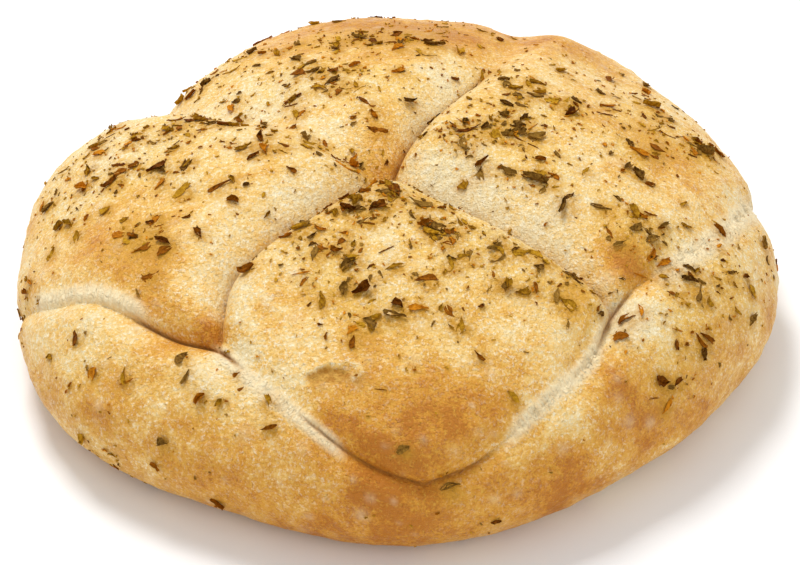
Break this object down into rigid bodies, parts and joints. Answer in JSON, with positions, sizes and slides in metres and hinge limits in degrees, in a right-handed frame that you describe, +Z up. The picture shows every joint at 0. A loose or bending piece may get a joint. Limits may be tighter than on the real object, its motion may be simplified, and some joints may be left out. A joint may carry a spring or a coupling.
{
  "type": "herb focaccia",
  "caption": "Round puffy flatbread with slashed lobes above a front crescent and dried herb leaves baked onto its golden crust.",
  "frame": {"origin": "middle of the flat base, at the bottom of the loaf", "axes": "+Z up, +X to the loaf's right and +Y to its back, with the crescent at the front on -Y"},
  "size_m": [0.1818, 0.1826, 0.0541],
  "materials": {
    "crust": "baked golden crust with a thin sheen of oil",
    "herbs": "dry crumpled leaf, dull"
  },
  "bodies": {
    "root": {"focaccia": "crust"}
  },
  "joints": []
}
